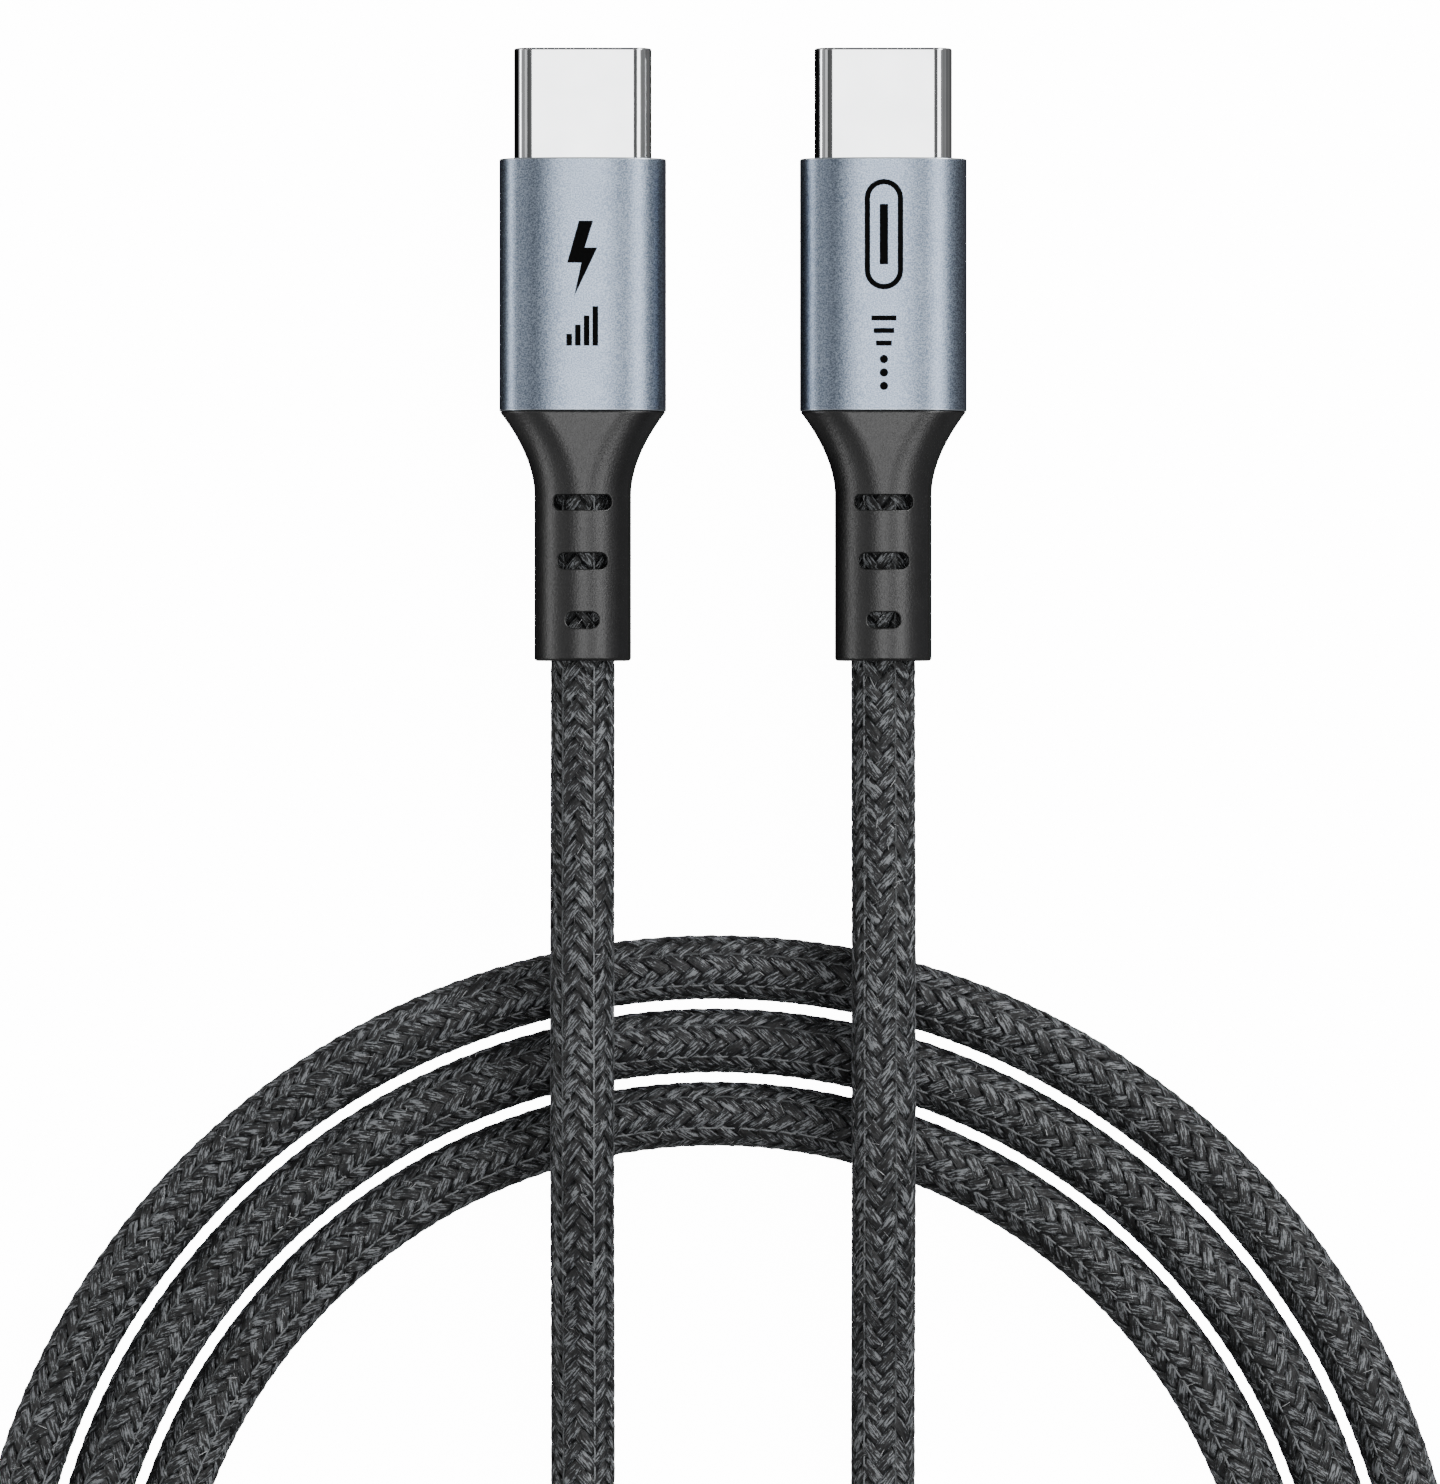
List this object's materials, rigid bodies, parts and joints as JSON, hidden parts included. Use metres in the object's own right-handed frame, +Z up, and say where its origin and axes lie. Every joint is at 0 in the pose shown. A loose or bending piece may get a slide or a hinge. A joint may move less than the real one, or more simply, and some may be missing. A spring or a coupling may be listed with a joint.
{
  "type": "charging cable",
  "caption": "Braided charging cable laid in a flat coil, with a flat reversible metal plug, aluminium housing and slotted strain relief on each end.",
  "frame": {"origin": "midway between the two plugs' axes and midway along the plugs, on the surface that the cable lies on", "axes": "+Y points the way both plugs point, +Z is up from the surface, and +X runs from the left plug to the right plug"},
  "size_m": [0.09, 0.1431, 0.0078],
  "materials": {
    "polished_steel": "polished stainless steel",
    "black_insulator": "moulded, satin",
    "gold_contacts": "gold flash over copper alloy",
    "spring_steel": "stamped spring steel",
    "circuit_board": "green solder mask",
    "red_wire": "extruded insulation",
    "black_wire": "extruded insulation",
    "blue_wire": "extruded insulation",
    "green_wire": "extruded insulation",
    "white_wire": "extruded insulation",
    "ivory_mould": "low-pressure moulded polyethylene",
    "grey_aluminium": "bead blasted and anodised blue grey",
    "black_rubber": "matte thermoplastic elastomer",
    "braid": "braided nylon yarn, charcoal"
  },
  "bodies": {
    "root": {"left_plug_shell": "polished_steel", "left_plug_insulator": "black_insulator", "left_plug_contacts_upper": "gold_contacts", "left_plug_contacts_lower": "gold_contacts", "left_plug_ground_spring_upper": "spring_steel", "left_plug_ground_spring_lower": "spring_steel", "left_plug_paddle_board": "circuit_board", "left_plug_power_wire": "red_wire", "left_plug_ground_wire": "black_wire", "left_plug_control_wire": "blue_wire", "left_plug_data_wire_plus": "green_wire", "left_plug_data_wire_minus": "white_wire", "left_plug_inner_mould": "ivory_mould", "left_plug_housing": "grey_aluminium", "left_plug_strain_relief": "black_rubber", "left_plug_cable_end": "braid", "right_plug_shell": "polished_steel", "right_plug_insulator": "black_insulator", "right_plug_contacts_upper": "gold_contacts", "right_plug_contacts_lower": "gold_contacts", "right_plug_ground_spring_upper": "spring_steel", "right_plug_ground_spring_lower": "spring_steel", "right_plug_paddle_board": "circuit_board", "right_plug_power_wire": "red_wire", "right_plug_ground_wire": "black_wire", "right_plug_control_wire": "blue_wire", "right_plug_data_wire_plus": "green_wire", "right_plug_data_wire_minus": "white_wire", "right_plug_inner_mould": "ivory_mould", "right_plug_housing": "grey_aluminium", "right_plug_strain_relief": "black_rubber", "right_plug_cable_end": "braid", "left_lead": "braid", "coil": "braid", "right_lead": "braid"},
    "left_plug_latch_left": {"left_plug_latch_left": "spring_steel"},
    "left_plug_latch_right": {"left_plug_latch_right": "spring_steel"},
    "right_plug_latch_left": {"right_plug_latch_left": "spring_steel"},
    "right_plug_latch_right": {"right_plug_latch_right": "spring_steel"}
  },
  "joints": [
    {"name": "left_plug_latch_left_spring", "type": "hinge", "parent": "root", "child": "left_plug_latch_left", "pos_m": [-0.01257, 0.0113, 0.003], "axis": [0, 0, 1], "range_deg": [0, 2], "stiffness_Nm_per_rad": 0.3},
    {"name": "left_plug_latch_right_spring", "type": "hinge", "parent": "root", "child": "left_plug_latch_right", "pos_m": [-0.00543, 0.0113, 0.003], "axis": [0, 0, -1], "range_deg": [0, 2], "stiffness_Nm_per_rad": 0.3},
    {"name": "right_plug_latch_left_spring", "type": "hinge", "parent": "root", "child": "right_plug_latch_left", "pos_m": [0.00543, 0.0113, 0.003], "axis": [0, 0, 1], "range_deg": [0, 2], "stiffness_Nm_per_rad": 0.3},
    {"name": "right_plug_latch_right_spring", "type": "hinge", "parent": "root", "child": "right_plug_latch_right", "pos_m": [0.01257, 0.0113, 0.003], "axis": [0, 0, -1], "range_deg": [0, 2], "stiffness_Nm_per_rad": 0.3}
  ]
}
